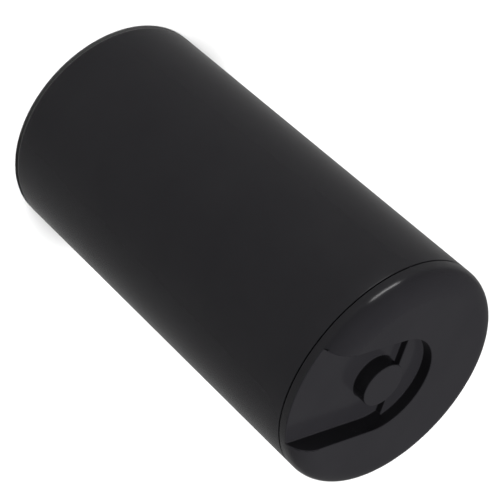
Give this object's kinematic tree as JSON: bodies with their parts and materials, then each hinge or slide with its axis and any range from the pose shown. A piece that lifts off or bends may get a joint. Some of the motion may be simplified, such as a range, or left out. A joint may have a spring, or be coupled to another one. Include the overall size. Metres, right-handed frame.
{
  "type": "fire blanket",
  "caption": "Rolled glass-fibre fire blanket in a round black plastic case, with a pull-off lid that has a U-shaped grip recess around a round boss.",
  "frame": {"origin": "centre of the base, at the height of the surface that the case stands on", "axes": "+Z along the case's axis towards the lid; the lid's grip recess opens towards -Y"},
  "size_m": [0.1, 0.1, 0.191],
  "materials": {
    "black_plastic": "satin black moulded plastic, fine grain, soft highlights",
    "inner_plastic": "dark grey moulded plastic, matt",
    "soft_rubber": "soft black rubber, matt",
    "glass_cloth": "off-white plain-woven glass-fibre cloth",
    "hem_tape": "off-white binding tape with a line of stitches",
    "red_webbing": "red woven tape with ribbed surface",
    "thread": "white sewing thread",
    "paper": "blank off-white paper"
  },
  "bodies": {
    "case": {"case_shell": "black_plastic", "foot_ring": "soft_rubber", "instruction_leaflet": "paper"},
    "lid": {"lid_shell": "black_plastic", "lid_seal_ring": "soft_rubber", "lid_inner_plate": "inner_plastic"},
    "blanket": {"blanket_roll": "glass_cloth", "blanket_end_hem": "hem_tape"},
    "left_tape": {"left_pull_tape": "red_webbing", "left_tape_stitching": "thread"},
    "right_tape": {"right_pull_tape": "red_webbing", "right_tape_stitching": "thread"}
  },
  "joints": [
    {"name": "lid_lift", "type": "slide", "parent": "case", "child": "lid", "axis": [0, 0, 1], "range_m": [0, 0.26]},
    {"name": "blanket_draw", "type": "slide", "parent": "case", "child": "blanket", "axis": [0, 0, 1], "range_m": [0, 0.117]},
    {"name": "left_tape_turn", "type": "hinge", "parent": "blanket", "child": "left_tape", "pos_m": [-0.0327, 0.014, 0.1772], "axis": [0, -1, 0], "range_deg": [0, 90]},
    {"name": "right_tape_turn", "type": "hinge", "parent": "blanket", "child": "right_tape", "pos_m": [0.0327, -0.014, 0.1772], "axis": [0, 1, 0], "range_deg": [0, 90]}
  ],
  "couplings": [
    {"joint": "blanket_draw", "follows": "lid_lift", "ratio": 0.45},
    {"joint": "left_tape_turn", "follows": "lid_lift", "rad_per_m": 6.04},
    {"joint": "right_tape_turn", "follows": "lid_lift", "rad_per_m": 6.04}
  ]
}
